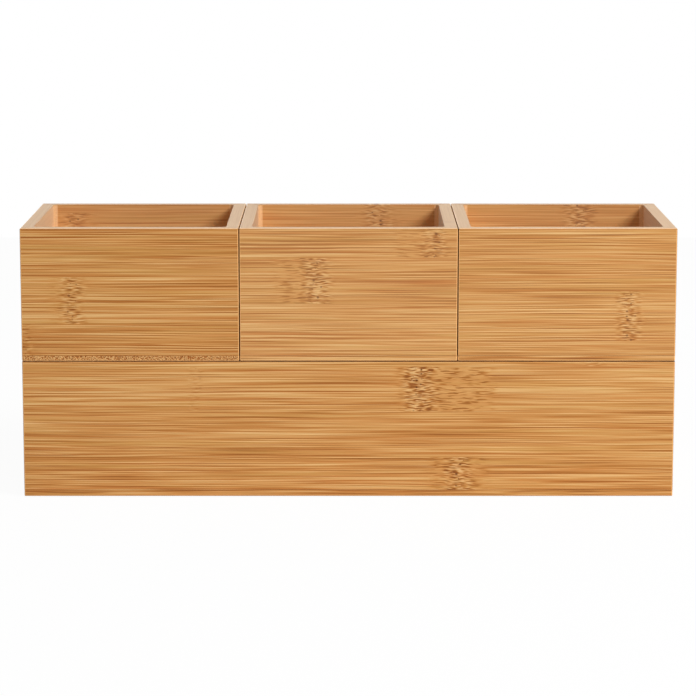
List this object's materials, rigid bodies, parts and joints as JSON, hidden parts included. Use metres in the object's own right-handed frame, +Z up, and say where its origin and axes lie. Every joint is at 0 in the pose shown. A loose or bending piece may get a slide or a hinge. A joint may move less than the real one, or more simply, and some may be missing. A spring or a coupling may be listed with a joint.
{
  "type": "pen holder",
  "caption": "Desk organizer of thin bamboo boards: a long open tray that carries a row of square open cups, each of which lifts off.",
  "frame": {"origin": "middle of the tray's underside", "axes": "+X along the tray, to the right when it is seen from the front; the front faces -Y; +Z up"},
  "size_m": [0.3004, 0.1, 0.125],
  "materials": {
    "cup_wall_bamboo": "clear satin lacquer",
    "tray_wall_bamboo": "clear satin lacquer",
    "bottom_bamboo": "clear satin lacquer"
  },
  "bodies": {
    "tray": {"tray_front_wall": "tray_wall_bamboo", "tray_back_wall": "tray_wall_bamboo", "tray_left_wall": "tray_wall_bamboo", "tray_right_wall": "tray_wall_bamboo", "tray_bottom_board": "bottom_bamboo"},
    "left_cup": {"left_cup_front_wall": "cup_wall_bamboo", "left_cup_back_wall": "cup_wall_bamboo", "left_cup_left_wall": "cup_wall_bamboo", "left_cup_right_wall": "cup_wall_bamboo", "left_cup_bottom_board": "bottom_bamboo"},
    "middle_cup": {"middle_cup_front_wall": "cup_wall_bamboo", "middle_cup_back_wall": "cup_wall_bamboo", "middle_cup_left_wall": "cup_wall_bamboo", "middle_cup_right_wall": "cup_wall_bamboo", "middle_cup_bottom_board": "bottom_bamboo"},
    "right_cup": {"right_cup_front_wall": "cup_wall_bamboo", "right_cup_back_wall": "cup_wall_bamboo", "right_cup_left_wall": "cup_wall_bamboo", "right_cup_right_wall": "cup_wall_bamboo", "right_cup_bottom_board": "bottom_bamboo"}
  },
  "joints": [
    {"name": "left_cup_lift", "type": "slide", "parent": "tray", "child": "left_cup", "axis": [0, 0, 1], "range_m": [0, 0.08]},
    {"name": "middle_cup_lift", "type": "slide", "parent": "tray", "child": "middle_cup", "axis": [0, 0, 1], "range_m": [0, 0.08]},
    {"name": "right_cup_lift", "type": "slide", "parent": "tray", "child": "right_cup", "axis": [0, 0, 1], "range_m": [0, 0.08]}
  ]
}
